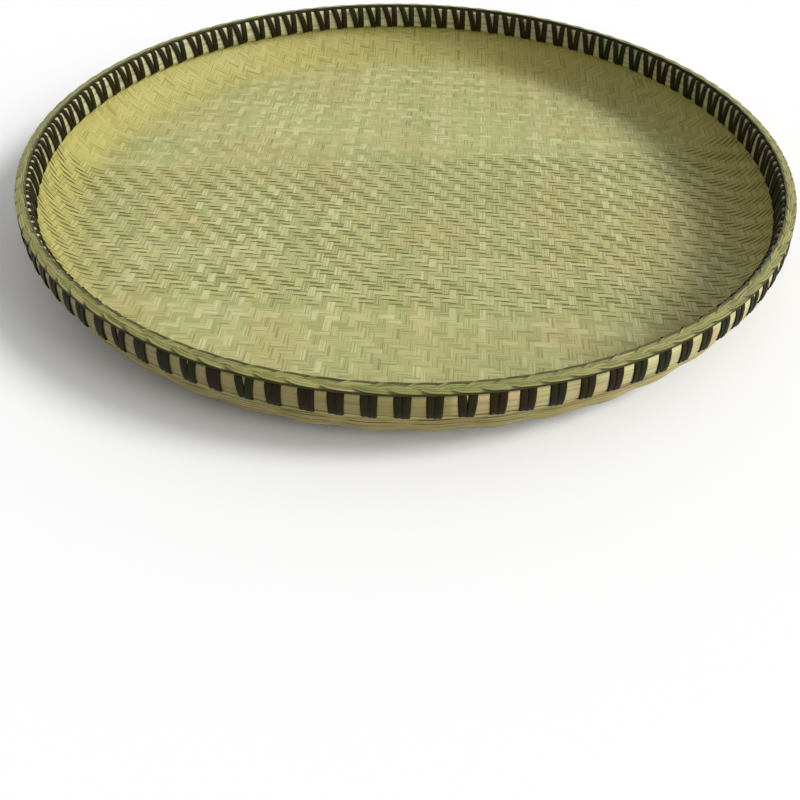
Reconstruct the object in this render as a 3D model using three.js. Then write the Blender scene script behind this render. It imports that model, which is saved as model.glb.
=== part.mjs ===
// Round bamboo winnowing tray: a twill mat pressed into a shallow bowl, carried by a lattice of
// long strips that cross under the floor and turn up as wall stakes, with rows of weavers round
// the wall and a rim of two hoops lashed together. Millimetres, +Z up, origin at the middle of
// the ring that the tray stands on.

import * as THREE from 'three';

// Fit between neighbouring pieces
const CLEARANCE = 0.3;

// Facets of every round piece, so that stakes lie flat on the mat and under the weavers
const FACETS = 48;

// Rim: two hoops that clamp the top edges of the mat and the stakes
const RIM_HEIGHT = 55;
const OUTER_HOOP_RADIUS = 299;
const OUTER_HOOP_THICKNESS = 3.6;
const OUTER_HOOP_HEIGHT = 17;
const OUTER_HOOP_LEAN = 1;
const INNER_HOOP_THICKNESS = 3.6;
const INNER_HOOP_HEIGHT = 18.5;
const INNER_HOOP_LEAN = 0.5;
const HIDDEN_EDGE_DROP = 0.3;

// Mat: flat floor that turns up in a quarter round
const MAT_THICKNESS = 1.2;
const SHOULDER_RADIUS = 35;
const SHOULDER_STEPS = 4;

// Strips: each crosses the floor beside the middle hole, and both its ends turn up as stakes
const STRIP_COUNT = 24;
const STRIP_WIDTH = 8;
const STRIP_THICKNESS = 0.6;
const STRIP_PAIR_GAP = 0.6;
const HUB_STRIP_WIDTH = 3;
const HUB_RADIUS = 24;
const HUB_HALF_LENGTH = 15.8;
const HUB_SLOPE = 0.145;
const STRIP_SPREAD = 0.259;
const WALL_FOOT_INSET = 7;
const LAYER_CHANGE_LENGTH = 24;

// Rings of fine splits laid between the two layers of strips, as shares of the flat floor's
// radius: the inner and the outer ring have two splits, and the middle ones have three
const FIRST_RING_SHARE = 0.324;
const SECOND_RING_SHARE = 0.548;
const THIRD_RING_SHARE = 0.702;
const FOURTH_RING_SHARE = 0.849;
const TWO_SPLITS_WIDTH = 5;
const THREE_SPLITS_WIDTH = 7.6;
const BASE_RING_THICKNESS = 1.4;

// Border that the tray stands on, at the turn from floor to wall
const HEEL_INSET = 4.2;
const HEEL_WIDTH = 6;

// Weavers: rows round the wall, outside the stakes
const WEAVER_COUNT = 19;
const WEAVER_THICKNESS = 1.8;
const FIRST_ROW_DISTANCE = 4.6;
const LAST_ROW_DROP = 1.7;

// Split that covers the outer hoop's lower edge
const EDGE_SPLIT_WIDTH = 1.3;
const EDGE_SPLIT_HEIGHT = 1.2;

// Lashing: one strip that zigzags over both hoops, a turn to each facet
const LASHING_WIDTH = 3.6;
const LASHING_THICKNESS = 0.8;
const LASHING_BAND_GAP = 0.4;
const LASHING_INNER_START = 10.5;

// Plait along the top of the rim
const PLAIT_WIDTH = 10.4;
const PLAIT_HEIGHT = 2.2;
const PLAIT_SHOULDER = 1.1;
const PLAIT_CROWN_INSET = 2.4;

// Derived sizes of the rim, from the outside in
const outerHoopInner = OUTER_HOOP_RADIUS - OUTER_HOOP_THICKNESS;
const stakeOuter = outerHoopInner - CLEARANCE;
const matOuter = stakeOuter - STRIP_THICKNESS - CLEARANCE;
const matInner = matOuter - MAT_THICKNESS;
const innerHoopOuter = matInner - CLEARANCE;
const innerHoopInner = innerHoopOuter - INNER_HOOP_THICKNESS;
const hiddenEdge = RIM_HEIGHT - HIDDEN_EDGE_DROP;
const outerHoopLower = RIM_HEIGHT - OUTER_HOOP_HEIGHT;
const innerHoopLower = RIM_HEIGHT - INNER_HOOP_HEIGHT;

// Derived heights of the floor, from the ground up: the strips' hub lies lowest above the ground
const hubRise = HUB_HALF_LENGTH * HUB_SLOPE;
const layerStep = STRIP_THICKNESS + BASE_RING_THICKNESS + 2 * CLEARANCE;
const hubMiddle = hubRise + STRIP_THICKNESS / 2 + CLEARANCE + 0.07;
const upperLayer = hubMiddle + hubRise;
const lowerLayer = upperLayer - layerStep;
const floorUnder = upperLayer + STRIP_THICKNESS / 2 + CLEARANCE;
const floorTop = floorUnder + MAT_THICKNESS;
const heelTop = upperLayer - STRIP_THICKNESS / 2 - CLEARANCE;

// Derived radii of the floor, which is flat out to where the quarter round starts
const floorRadius = matOuter - SHOULDER_RADIUS;
const heelInner = floorRadius - HEEL_INSET;
const wallFootRadius = floorRadius - WALL_FOOT_INSET;
const layerChangeRadius = wallFootRadius - LAYER_CHANGE_LENGTH;
const floorRings = [
  { radius: floorRadius * FIRST_RING_SHARE, width: TWO_SPLITS_WIDTH },
  { radius: floorRadius * SECOND_RING_SHARE, width: THREE_SPLITS_WIDTH },
  { radius: floorRadius * THIRD_RING_SHARE, width: THREE_SPLITS_WIDTH },
  { radius: floorRadius * FOURTH_RING_SHARE, width: TWO_SPLITS_WIDTH },
];

// Centre of the quarter round, as a radius and a height
const shoulderCentre = { radius: floorRadius, height: floorUnder + SHOULDER_RADIUS };

const rightAngle = Math.PI / 2;
const facetAngle = (2 * Math.PI) / FACETS;

const bamboo = (color, roughness) => new THREE.MeshStandardMaterial({ color, roughness, metalness: 0 });
const matBamboo = () => bamboo(0xbfbd84, 0.6);
const stripBamboo = () => bamboo(0xadaa77, 0.55);
const ringBamboo = () => bamboo(0xcfcf9f, 0.55);
const weaverBamboo = () => bamboo(0xb1a970, 0.55);
const hoopBamboo = () => bamboo(0xb4b383, 0.5);
const plaitBamboo = () => bamboo(0x969758, 0.55);
const lashingBark = () => bamboo(0x2b2412, 0.5);

const tray = new THREE.Group();

function addPiece(name, geometry, material) {
  const piece = new THREE.Mesh(geometry, material);
  piece.name = name;
  tray.add(piece);
}

// A point of the quarter round: angle from straight down, and distance outside the mat
function shoulderPoint(angle, outside) {
  const reach = SHOULDER_RADIUS + outside;
  return new THREE.Vector2(
    shoulderCentre.radius + reach * Math.sin(angle),
    shoulderCentre.height - reach * Math.cos(angle),
  );
}

// A point of the wall: distance up the mat's outer face from the floor, and distance outside it
function wallPoint(distance, outside) {
  const roundLength = SHOULDER_RADIUS * rightAngle;
  if (distance < roundLength) return shoulderPoint(distance / SHOULDER_RADIUS, outside);
  return new THREE.Vector2(matOuter + outside, shoulderCentre.height + distance - roundLength);
}

// How far up the wall a piece outside the mat reaches a height
function distanceAtHeight(height, outside) {
  const drop = shoulderCentre.height - height;
  if (drop <= 0) return SHOULDER_RADIUS * rightAngle - drop;
  return SHOULDER_RADIUS * Math.acos(drop / (SHOULDER_RADIUS + outside));
}

// The angles at which the quarter round changes direction, from the floor to the vertical
const shoulderAngles = Array.from({ length: SHOULDER_STEPS + 1 }, (_, k) => (k * rightAngle) / SHOULDER_STEPS);

// A round piece from its section, a closed line of radii and heights that runs anticlockwise.
// The middle of each facet lies at the radius given, and its corners a little further out.
function roundPiece(section) {
  const cornerFactor = 1 / Math.cos(facetAngle / 2);
  const corners = section.map((p) => new THREE.Vector2(p.x * cornerFactor, p.y));
  const geometry = new THREE.LatheGeometry(corners, FACETS, rightAngle + facetAngle / 2);
  return geometry.rotateX(rightAngle);
}

function closedSection(points) {
  const section = points.map(([radius, height]) => new THREE.Vector2(radius, height));
  return [...section, section[0].clone()];
}

// One closed body from a row of sections with the same number of corners, each ordered
// anticlockwise as seen by someone whom the row runs towards
function solidAlong(sections, isLoop) {
  const sides = sections[0].length;
  const position = sections.flat().flatMap((p) => [p.x, p.y, p.z]);
  const index = [];
  const spans = isLoop ? sections.length : sections.length - 1;
  for (let i = 0; i < spans; i++) {
    const here = i * sides;
    const next = ((i + 1) % sections.length) * sides;
    for (let k = 0; k < sides; k++) {
      const turn = (k + 1) % sides;
      index.push(here + k, here + turn, next + turn, here + k, next + turn, next + k);
    }
  }
  if (!isLoop) {
    const end = (sections.length - 1) * sides;
    for (let k = 1; k < sides - 1; k++) {
      index.push(0, k + 1, k);
      index.push(end, end + k, end + k + 1);
    }
  }
  const geometry = new THREE.BufferGeometry();
  geometry.setAttribute('position', new THREE.Float32BufferAttribute(position, 3));
  geometry.setIndex(index);
  geometry.computeVertexNormals();
  return geometry;
}

const up = new THREE.Vector3(0, 0, 1);
const outward = (angle) => new THREE.Vector3(Math.cos(angle), Math.sin(angle), 0);
const around = (angle) => new THREE.Vector3(-Math.sin(angle), Math.cos(angle), 0);

// The average of the two directions that meet at a bend, lengthened so that widths keep
function mitre(before, after) {
  const middle = before.clone().add(after).normalize();
  return middle.divideScalar(middle.dot(before));
}

// A flat strip along a line of stops: each stop has a place and a width, and each run between
// stops has the horizontal direction that lies across the strip
function flatStrip(stops, across, thickness) {
  const normals = across.map((side, i) => {
    const run = stops[i + 1].place.clone().sub(stops[i].place).normalize();
    return run.cross(side);
  });
  const sections = stops.map((stop, i) => {
    const before = Math.max(i - 1, 0);
    const after = Math.min(i, across.length - 1);
    const side = mitre(across[before], across[after]).multiplyScalar(stop.width / 2);
    const normal = mitre(normals[before], normals[after]).multiplyScalar(thickness / 2);
    return [[-1, -1], [1, -1], [1, 1], [-1, 1]].map(([s, n]) =>
      stop.place.clone().addScaledVector(side, s).addScaledVector(normal, n));
  });
  return solidAlong(sections, false);
}

// Half a strip from beside the hub to its top between the hoops. turn is 1 for the half that
// leaves anticlockwise, which runs in the upper layer, and -1 for the other half.
function halfStrip(hubAngle, turn) {
  const endAngle = hubAngle + (turn * (STRIP_COUNT - 2) * rightAngle) / STRIP_COUNT;
  const lateral = (-turn * (STRIP_WIDTH + STRIP_PAIR_GAP)) / 2;
  const layer = turn > 0 ? upperLayer : lowerLayer;
  const fullWidthAt = HUB_HALF_LENGTH + (STRIP_WIDTH - HUB_STRIP_WIDTH) / STRIP_SPREAD;
  const leaving = around(hubAngle).multiplyScalar(turn);
  const foot = outward(hubAngle).multiplyScalar(HUB_RADIUS);
  const onWall = (radius, height) =>
    outward(endAngle).multiplyScalar(radius)
      .addScaledVector(around(endAngle), lateral)
      .setZ(height);

  const hubEnd = foot.clone().addScaledVector(leaving, HUB_HALF_LENGTH).setZ(hubMiddle + turn * hubRise);
  const spreadEnd = foot.clone().addScaledVector(leaving, fullWidthAt).setZ(layer);
  const wallFoot = onWall(wallFootRadius, upperLayer);
  const run = wallFoot.clone().sub(spreadEnd).setZ(0).normalize();
  const spreadRadius = Math.hypot(HUB_RADIUS, fullWidthAt);
  const share = (layerChangeRadius - spreadRadius) / (wallFootRadius - spreadRadius);
  const layerChange = spreadEnd.clone().lerp(wallFoot, share).setZ(layer);

  const centreOutside = CLEARANCE + STRIP_THICKNESS / 2;
  const wall = shoulderAngles.map((angle) => {
    const p = shoulderPoint(angle, centreOutside);
    return onWall(p.x, p.y);
  });
  const top = onWall(matOuter + centreOutside, hiddenEdge);

  const stops = [
    { place: hubEnd, width: HUB_STRIP_WIDTH },
    ...[spreadEnd, layerChange, wallFoot, ...wall, top].map((place) => ({ place, width: STRIP_WIDTH })),
  ];
  const across = [
    up.clone().cross(leaving),
    up.clone().cross(run),
    up.clone().cross(run),
    ...wall.map(() => around(endAngle)),
    around(endAngle),
  ];
  return { stops, across };
}

function floorStrip(hubAngle) {
  const ahead = halfStrip(hubAngle, 1);
  const behind = halfStrip(hubAngle, -1);
  const stops = [...behind.stops.reverse(), ...ahead.stops];
  const across = [
    ...behind.across.reverse().map((side) => side.negate()),
    up.clone().cross(around(hubAngle)),
    ...ahead.across,
  ];
  return flatStrip(stops, across, STRIP_THICKNESS);
}

function linerMat() {
  const outside = shoulderAngles.map((angle) => shoulderPoint(angle, 0));
  const inside = shoulderAngles.map((angle) => shoulderPoint(angle, -MAT_THICKNESS)).reverse();
  return [
    new THREE.Vector2(0, floorUnder),
    ...outside,
    new THREE.Vector2(matOuter, hiddenEdge),
    new THREE.Vector2(matInner, hiddenEdge),
    ...inside,
    new THREE.Vector2(0, floorTop),
  ];
}

function baseRing({ radius, width }) {
  const lower = lowerLayer + STRIP_THICKNESS / 2 + CLEARANCE;
  const upper = lower + BASE_RING_THICKNESS;
  return closedSection([
    [radius - width / 2, lower],
    [radius + width / 2, lower],
    [radius + width / 2, upper],
    [radius - width / 2, upper],
  ]);
}

function heelBorder() {
  const outer = heelInner + HEEL_WIDTH;
  return closedSection([
    [heelInner, 0],
    [outer, 0],
    [outer, heelTop],
    [heelInner, heelTop],
  ]);
}

// Rows of weavers, evenly spaced from the standing border to the outer hoop's lower edge
const weaverInside = 2 * CLEARANCE + STRIP_THICKNESS;
const lastRowDistance = distanceAtHeight(outerHoopLower - LAST_ROW_DROP, weaverInside);
const rowPitch = (lastRowDistance - FIRST_ROW_DISTANCE) / (WEAVER_COUNT - 1);

// A weaver lies on the stakes with its ridge outwards
function wallWeaver(row) {
  const distance = FIRST_ROW_DISTANCE + row * rowPitch;
  const halfWidth = (rowPitch - CLEARANCE) / 2;
  const section = [
    wallPoint(distance - halfWidth, weaverInside),
    wallPoint(distance, weaverInside + WEAVER_THICKNESS),
    wallPoint(distance + halfWidth, weaverInside),
  ];
  return [...section, section[0].clone()];
}

function outerHoop() {
  return closedSection([
    [outerHoopInner, outerHoopLower],
    [OUTER_HOOP_RADIUS, outerHoopLower],
    [OUTER_HOOP_RADIUS - OUTER_HOOP_LEAN, RIM_HEIGHT],
    [outerHoopInner, RIM_HEIGHT],
  ]);
}

// The inner hoop's back follows the mat, which still leans in at the hoop's lower edge
function innerHoop() {
  const wallStart = shoulderPoint(rightAngle, -MAT_THICKNESS);
  const below = shoulderPoint(shoulderAngles[SHOULDER_STEPS - 1], -MAT_THICKNESS);
  const share = (wallStart.y - innerHoopLower) / (wallStart.y - below.y);
  const matAtLowerEdge = wallStart.x + (below.x - wallStart.x) * share;
  return closedSection([
    [innerHoopInner - INNER_HOOP_LEAN, innerHoopLower],
    [matAtLowerEdge - CLEARANCE, innerHoopLower],
    [innerHoopOuter, wallStart.y],
    [innerHoopOuter, RIM_HEIGHT],
    [innerHoopInner, RIM_HEIGHT],
  ]);
}

function edgeSplit() {
  const upper = outerHoopLower - CLEARANCE;
  const outer = OUTER_HOOP_RADIUS;
  return closedSection([
    [outer - EDGE_SPLIT_WIDTH, upper - EDGE_SPLIT_HEIGHT],
    [outer, upper - EDGE_SPLIT_HEIGHT],
    [outer, upper],
    [outer - EDGE_SPLIT_WIDTH, upper],
  ]);
}

function rimPlait() {
  const middle = (OUTER_HOOP_RADIUS + innerHoopInner) / 2;
  const lower = RIM_HEIGHT + LASHING_THICKNESS + 2 * CLEARANCE;
  const halfWidth = PLAIT_WIDTH / 2;
  const crown = halfWidth - PLAIT_CROWN_INSET;
  return closedSection([
    [middle - halfWidth, lower],
    [middle + halfWidth, lower],
    [middle + halfWidth, lower + PLAIT_SHOULDER],
    [middle + crown, lower + PLAIT_HEIGHT],
    [middle - crown, lower + PLAIT_HEIGHT],
    [middle - halfWidth, lower + PLAIT_SHOULDER],
  ]);
}

// The faces that the lashing lies on, as a section of the rim from the outer hoop's lower edge,
// over the top, to the inner hoop's lower edge
const rimFaces = [
  new THREE.Vector2(OUTER_HOOP_RADIUS, outerHoopLower),
  new THREE.Vector2(OUTER_HOOP_RADIUS - OUTER_HOOP_LEAN, RIM_HEIGHT),
  new THREE.Vector2(innerHoopInner, RIM_HEIGHT),
  new THREE.Vector2(innerHoopInner - INNER_HOOP_LEAN, innerHoopLower),
];

// A place on those faces: face 0 is outer, 1 is top and 2 is inner, share runs along the face,
// and off is the distance from it. At the end of face 0 or 1 it also keeps off the next face.
function onRim(face, share, off) {
  const normalOf = (k) => {
    const along = rimFaces[k + 1].clone().sub(rimFaces[k]).normalize();
    return new THREE.Vector2(along.y, -along.x);
  };
  const place = rimFaces[face].clone().lerp(rimFaces[face + 1], share);
  if (share < 1 || face === 2) return place.addScaledVector(normalOf(face), off);
  const middle = normalOf(face).add(normalOf(face + 1)).normalize();
  return place.addScaledVector(middle, off / middle.dot(normalOf(face)));
}

// Half a turn of the lashing, as pairs of edges: from the middle of a facet, up the outer hoop,
// over the top and down the inner hoop to the facet's corner. An edge's distance counts from the
// facet's middle, or back from its corner.
const legEdge = LASHING_BAND_GAP / 2;
const outerFold = LASHING_WIDTH / OUTER_HOOP_HEIGHT;
const innerFold = 1 - LASHING_WIDTH / INNER_HOOP_HEIGHT;
const lashingHalfTurn = [
  [{ across: 0, face: 0, share: 0 }, { across: 0, face: 0, share: outerFold }],
  [{ across: legEdge + LASHING_WIDTH, face: 0, share: 0 }, { across: legEdge, face: 0, share: outerFold }],
  [{ across: legEdge + LASHING_WIDTH, face: 0, share: 1 }, { across: legEdge, face: 0, share: 1 }],
  [
    { across: LASHING_INNER_START + LASHING_WIDTH, face: 1, share: 1 },
    { across: LASHING_INNER_START, face: 1, share: 1 },
  ],
  [{ back: legEdge, face: 2, share: innerFold }, { back: LASHING_WIDTH, face: 2, share: 1 }],
  [{ back: 0, face: 2, share: innerFold }, { back: 0, face: 2, share: 1 }],
];

// A section of the lashing on a facet; side is 1 for its anticlockwise half and -1 for the other
function lashingSection([first, second], facet, side) {
  const angle = facet * facetAngle;
  const corner = (edge, off) => {
    const p = onRim(edge.face, edge.share, off);
    const distance = edge.across ?? p.x * Math.tan(facetAngle / 2) - edge.back;
    return outward(angle).multiplyScalar(p.x).addScaledVector(around(angle), side * distance).setZ(p.y);
  };
  const near = CLEARANCE;
  const far = CLEARANCE + LASHING_THICKNESS;
  return [corner(first, near), corner(second, near), corner(second, far), corner(first, far)];
}

function rimLashing() {
  const sections = [];
  for (let facet = 0; facet < FACETS; facet++) {
    const down = lashingHalfTurn.map((pair) => lashingSection(pair, facet, 1));
    const upAgain = lashingHalfTurn.slice(1, -1).map((pair) => lashingSection(pair, facet + 1, -1));
    sections.push(...down, ...upAgain.reverse());
  }
  return solidAlong(sections, true);
}

addPiece('liner_mat', roundPiece(linerMat()), matBamboo());

for (let k = 0; k < STRIP_COUNT; k++) {
  const hubAngle = (k * 2 * Math.PI) / STRIP_COUNT - ((STRIP_COUNT - 2) * rightAngle) / STRIP_COUNT;
  addPiece(`floor_strip_${String(k + 1).padStart(2, '0')}`, floorStrip(hubAngle), stripBamboo());
}

floorRings.forEach((ring, k) => {
  addPiece(`floor_ring_${k + 1}`, roundPiece(baseRing(ring)), ringBamboo());
});

addPiece('heel_border', roundPiece(heelBorder()), ringBamboo());

for (let row = 0; row < WEAVER_COUNT; row++) {
  addPiece(`wall_weaver_${String(row + 1).padStart(2, '0')}`, roundPiece(wallWeaver(row)), weaverBamboo());
}

addPiece('outer_hoop', roundPiece(outerHoop()), hoopBamboo());
addPiece('inner_hoop', roundPiece(innerHoop()), hoopBamboo());
addPiece('hoop_edge_split', roundPiece(edgeSplit()), weaverBamboo());
addPiece('rim_plait', roundPiece(rimPlait()), plaitBamboo());
addPiece('rim_lashing', rimLashing(), lashingBark());

export default tray;
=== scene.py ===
"""Round bamboo winnowing tray: the woven mat, floor strips, wall rows, hoops, plait and lashings.

The tray's lengths are millimetres, and become metres when a mesh is made. Those of the floor under it and
of the camera are metres. Angles are radians. A ribbon is one split of bamboo: a line of stations, each with
a middle, a direction across and one outwards.
"""

import bpy
import numpy as np
from mathutils import Matrix


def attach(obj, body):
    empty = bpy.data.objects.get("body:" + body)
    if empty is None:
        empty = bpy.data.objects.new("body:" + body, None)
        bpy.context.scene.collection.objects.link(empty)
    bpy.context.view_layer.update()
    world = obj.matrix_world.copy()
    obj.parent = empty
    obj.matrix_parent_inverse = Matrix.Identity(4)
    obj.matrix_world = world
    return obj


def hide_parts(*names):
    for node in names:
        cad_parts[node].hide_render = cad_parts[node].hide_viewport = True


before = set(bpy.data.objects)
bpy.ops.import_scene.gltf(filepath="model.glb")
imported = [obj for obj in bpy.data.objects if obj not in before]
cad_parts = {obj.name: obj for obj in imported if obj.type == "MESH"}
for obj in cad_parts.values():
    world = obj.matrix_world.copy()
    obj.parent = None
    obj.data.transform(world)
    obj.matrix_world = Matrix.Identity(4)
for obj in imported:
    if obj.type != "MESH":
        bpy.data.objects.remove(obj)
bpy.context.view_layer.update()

MM = 0.001
TAU = 2 * np.pi
QUARTER = np.pi / 2
RNG_SEED = 20241

# Rim and wall, as in the solids
RIM_HEIGHT = 55.0
OUTER_HOOP_OUTER = 299.0
OUTER_HOOP_INNER = 295.4
INNER_HOOP_OUTER = 292.7
INNER_HOOP_INNER = 289.1
OUTER_HOOP_LOWER = 38.0
INNER_HOOP_LOWER = 36.5
MAT_OUTER = 294.2
MAT_THICKNESS = 1.2
SHOULDER_RADIUS = 35.0
FLOOR_RADIUS = MAT_OUTER - SHOULDER_RADIUS
FLOOR_UNDER = 5.85
SHOULDER_HEIGHT = FLOOR_UNDER + SHOULDER_RADIUS
SHOULDER_LENGTH = SHOULDER_RADIUS * QUARTER

# Floor lattice
PAIR_COUNT = 48
STRIP_WIDTH = 7.5
STRIP_THICKNESS = 0.55
STRIP_SHORT = 0.4
STRIP_STATIONS = 150
PAIR_OFFSET = 4.3
OUTER_LEAN = 30.0
LEAN_LEFT = np.radians(8.64)
END_TURN = np.radians(82.5)
END_SWEEP = 0.04
LEAN_CHANGE = (140, 172)
LOWER_LAYER = 2.7
UPPER_LAYER = 5.2
LAYER_MARKS = (112.0, 132.0, 156.0, 172.0, 193.0, 209.0, 228.0, 250.0)
LAYER_ROUNDING = 4
RING_HEIGHT = 3.95
FLOOR_RING_RADII = (84.0, 142.0, 182.0, 220.0)
FLOOR_RING_SPLITS = (2, 3, 3, 2)
RING_SPLIT_PITCH = 2.35
HEEL_RADIUS = 258.0
HEEL_HEIGHT = 2.3
STRAY = 0.9
STRAY_BEGINS = (60, 110)
STRAY_ENDS = (190, 240)
STAKE_OUTSIDE = 1.7
HELD_OUTSIDE = 0.6

# Middle hole: sizes of the strips there, and the radii between which they change to those further out
BUNDLE_COUNT = 6
BUNDLE_STRIPS = PAIR_COUNT // BUNDLE_COUNT
HUB_INNER = 23.2
HUB_STEP = 1.9
HUB_HEIGHT = 2.95
HUB_RISE = 1.15
HUB_CROSSING = 6
HUB_WIDTH = 6.6
HUB_THICKNESS = 0.26
STACK_STEP = 0.28
STACK_LOSS = 0.22
HUB_BEND = (33, 66)
HUB_LEAVE = (37, 49)
HUB_FAN = (37, 60)
HUB_LEVEL = (66, 84)
HUB_WIDEN = (42, 64)
HUB_THICKEN = (50, 75)

# Mat, and the band of slack wefts: where it begins and ends, and how its far end is tilted
SPLIT_PITCH = 5.4
SPLIT_HALF_DEPTH = 0.08
MAT_UPRIGHT = 13.4
MAT_REACH = FLOOR_RADIUS + SHOULDER_LENGTH + MAT_UPRIGHT
MAT_TURN = np.radians(-3.0)
SLACK_NEAR = (-164, -146)
SLACK_FAR = (48, 66)
SLACK_TILT = 0.16

# Wall rows
ROW_PAIRS = 19
FIRST_ROW = 4.0
LAST_ROW = 51.0
ROW_OUTSIDE = 1.5
ROW_SWING = 0.72
ROW_HALF_DEPTH = 0.62

# Lashings, plait, where the outer hoop's painted shade begins and ends, and the split under it
LASHINGS = 102
LASH_RADIUS = 296
LASH_HALF_WIDTH = 2.75
LASH_HALF_DEPTH = 0.36
LASH_CORE = (294.0, 46.0)
PLAIT_MIDDLE = 294.9
PLAIT_BASE = 56.1
PLAIT_TURNS = 34
PLAIT_STRANDS = 3
PLAIT_SWING = 1.9
PLAIT_SPLIT_PITCH = 1.5
HOOP_SHADE_SEAM = np.radians(-84)
EDGE_RADIUS = 298.2
EDGE_HEIGHT = 36.9

# Floor under the tray: what the camera sees, what it throws back, where it ends and how fast it fades
GROUND_SIZE = 12.0
GROUND_SEEN = (0.97, 0.97, 0.97, 1)
GROUND_THROWN = (0.48, 0.48, 0.48, 1)
GROUND_END = 1.45
GROUND_FADE = 1.6

# Camera, fitted to the photograph, with its sensor and lens in millimetres
TRAY_RADIUS = 0.3
CAMERA_DISTANCE = 2.4247 * TRAY_RADIUS
CAMERA_ELEVATION = np.radians(27.11)
CAMERA_PITCH = np.radians(43.83)
CAMERA_YAW = np.radians(-0.108)
CAMERA_ROLL = np.radians(1.13)
SENSOR_WIDTH = 36.0
PICTURE_PIXELS = 800.0
FOCAL_PIXELS = 866.05
FOCAL_LENGTH = SENSOR_WIDTH * FOCAL_PIXELS / PICTURE_PIXELS

# Lights: name, energy, and in degrees the width, the tilt from overhead and the turn from the right
LAMPS = (("window", 1.95, 20, 50, -6), ("low_window", 0.95, 25, 62, -30))
WORLD_LEVEL = 0.49
WORLD_SLOPE = 0.22

rng = np.random.default_rng(RNG_SEED)


# Shapes

def smooth_step(low, high, x):
    """0 below low, 1 above high, and between them three times the square of x's share of the way less
    twice its cube."""
    share = np.clip((x - low) / (high - low), 0, 1)
    return share * share * (3 - 2 * share)


def polar(radius, angle, height):
    """Points at a radius, an angle round the tray and a height."""
    radius, angle, height = np.broadcast_arrays(radius, angle, height)
    return np.stack([radius * np.cos(angle), radius * np.sin(angle), height], axis=-1)


def unit(vectors):
    """Each vector over its length."""
    return vectors / np.maximum(np.linalg.norm(vectors, axis=-1, keepdims=True), 1e-9)


def bowl(reach, outside):
    """Radius and height of a point of the bowl, reach being measured from the middle along the mat's
    outer face and outside square to it. Flat out to the floor's radius, where the radius is the reach;
    then a quarter circle, whose angle is the reach past the floor over the shoulder's radius; then
    straight up."""
    reach, outside = np.broadcast_arrays(np.asarray(reach, float), outside)
    angle = np.clip((reach - FLOOR_RADIUS) / SHOULDER_RADIUS, 0, QUARTER)
    radius = np.minimum(reach, FLOOR_RADIUS) + (SHOULDER_RADIUS + outside) * np.sin(angle)
    above = np.maximum(reach - FLOOR_RADIUS - SHOULDER_LENGTH, 0)
    height = SHOULDER_HEIGHT - (SHOULDER_RADIUS + outside) * np.cos(angle) + above
    return radius, height


def mesh_piece(name, points, faces_by_size, corner_uv, smooth, **values):
    """A mesh object from its points in millimetres, its faces grouped by their number of corners, a UV
    for each corner and named values for each point."""
    mesh = bpy.data.meshes.new(name)
    mesh.vertices.add(len(points))
    mesh.vertices.foreach_set("co", (points * MM).astype(np.float32).ravel())
    loops = np.concatenate([faces.ravel() for faces in faces_by_size])
    sizes = np.concatenate([np.full(len(faces), faces.shape[1]) for faces in faces_by_size])
    mesh.loops.add(len(loops))
    mesh.loops.foreach_set("vertex_index", loops.astype(np.int32))
    mesh.polygons.add(len(sizes))
    mesh.polygons.foreach_set("loop_start", (np.cumsum(sizes) - sizes).astype(np.int32))
    mesh.polygons.foreach_set("loop_total", sizes.astype(np.int32))
    mesh.polygons.foreach_set("use_smooth", np.full(len(sizes), smooth))
    layer = mesh.uv_layers.new(name="Lay")
    layer.data.foreach_set("uv", corner_uv.astype(np.float32).ravel())
    for label, numbers in values.items():
        attribute = mesh.attributes.new(label, "FLOAT", "POINT")
        attribute.data.foreach_set("value", numbers.astype(np.float32).ravel())
    mesh.update()
    mesh.validate()
    piece = bpy.data.objects.new(name, mesh)
    bpy.context.collection.objects.link(piece)
    return piece


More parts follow.
